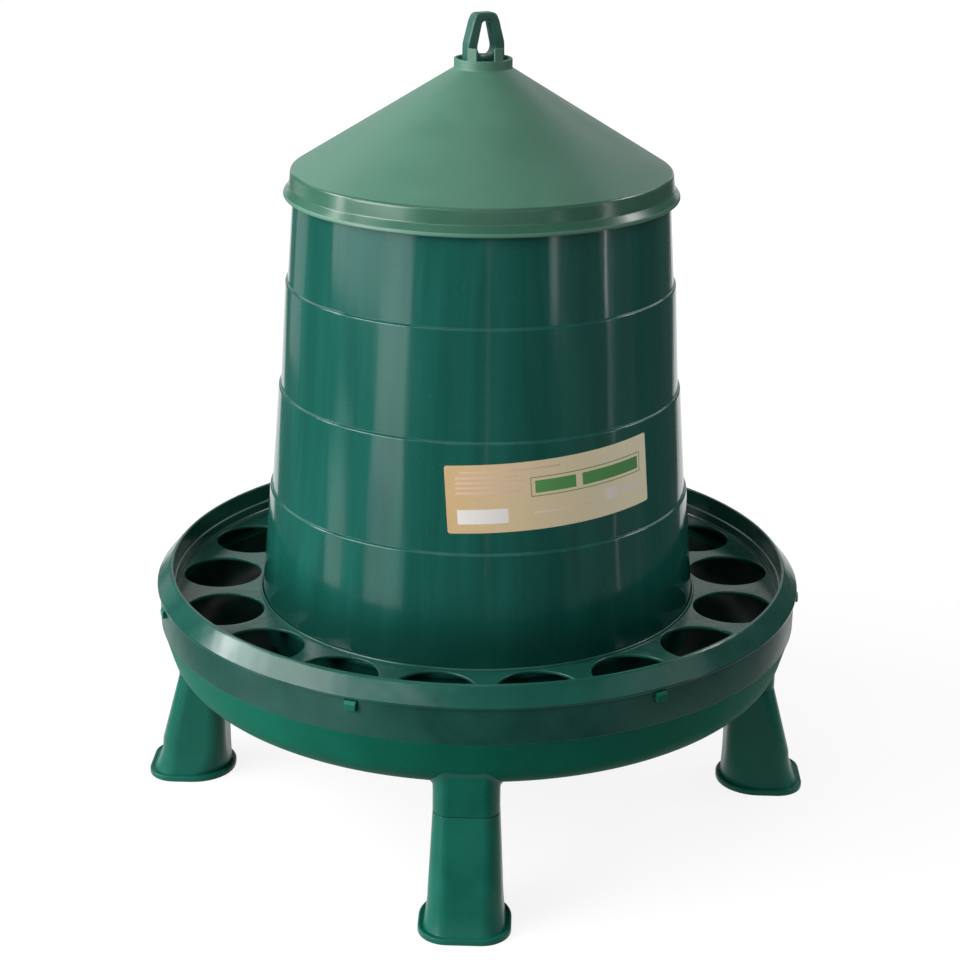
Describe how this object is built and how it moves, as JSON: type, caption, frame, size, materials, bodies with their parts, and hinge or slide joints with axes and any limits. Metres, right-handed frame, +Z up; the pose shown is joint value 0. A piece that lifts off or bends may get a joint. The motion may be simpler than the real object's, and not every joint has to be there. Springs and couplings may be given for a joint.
{
  "type": "poultry hopper feeder",
  "caption": "Round poultry feeder: a stepped hopper with a conical lift-off lid above a trough under a grid of feeding holes, on push-on legs, with a loop on top for hanging.",
  "frame": {"origin": "on the floor under the middle of the feeder, in the plane of the feet's soles", "axes": "+Z up along the feeder's axis through the loop; -Y to the front leg, which faces the viewer; +X to the right-hand leg"},
  "size_m": [0.444, 0.444, 0.5129],
  "materials": {
    "sage_green_plastic": "satin",
    "bottle_green_plastic": "gloss",
    "leaf_green_plastic": "gloss"
  },
  "bodies": {
    "feeder": {"tray": "leaf_green_plastic", "grid_ring": "bottle_green_plastic", "hopper": "bottle_green_plastic", "hanger": "bottle_green_plastic"},
    "lid": {"lid": "sage_green_plastic"},
    "leg_front": {"leg_front": "leaf_green_plastic"},
    "leg_right": {"leg_right": "leaf_green_plastic"},
    "leg_back": {"leg_back": "leaf_green_plastic"},
    "leg_left": {"leg_left": "leaf_green_plastic"}
  },
  "joints": [
    {"name": "lid_lift", "type": "slide", "parent": "feeder", "child": "lid", "axis": [0, 0, 1], "range_m": [0, 0.115]},
    {"name": "leg_front_pull", "type": "slide", "parent": "feeder", "child": "leg_front", "axis": [0, 0, -1], "range_m": [0, 0.025]},
    {"name": "leg_right_pull", "type": "slide", "parent": "feeder", "child": "leg_right", "axis": [0, 0, -1], "range_m": [0, 0.025]},
    {"name": "leg_back_pull", "type": "slide", "parent": "feeder", "child": "leg_back", "axis": [0, 0, -1], "range_m": [0, 0.025]},
    {"name": "leg_left_pull", "type": "slide", "parent": "feeder", "child": "leg_left", "axis": [0, 0, -1], "range_m": [0, 0.025]}
  ]
}
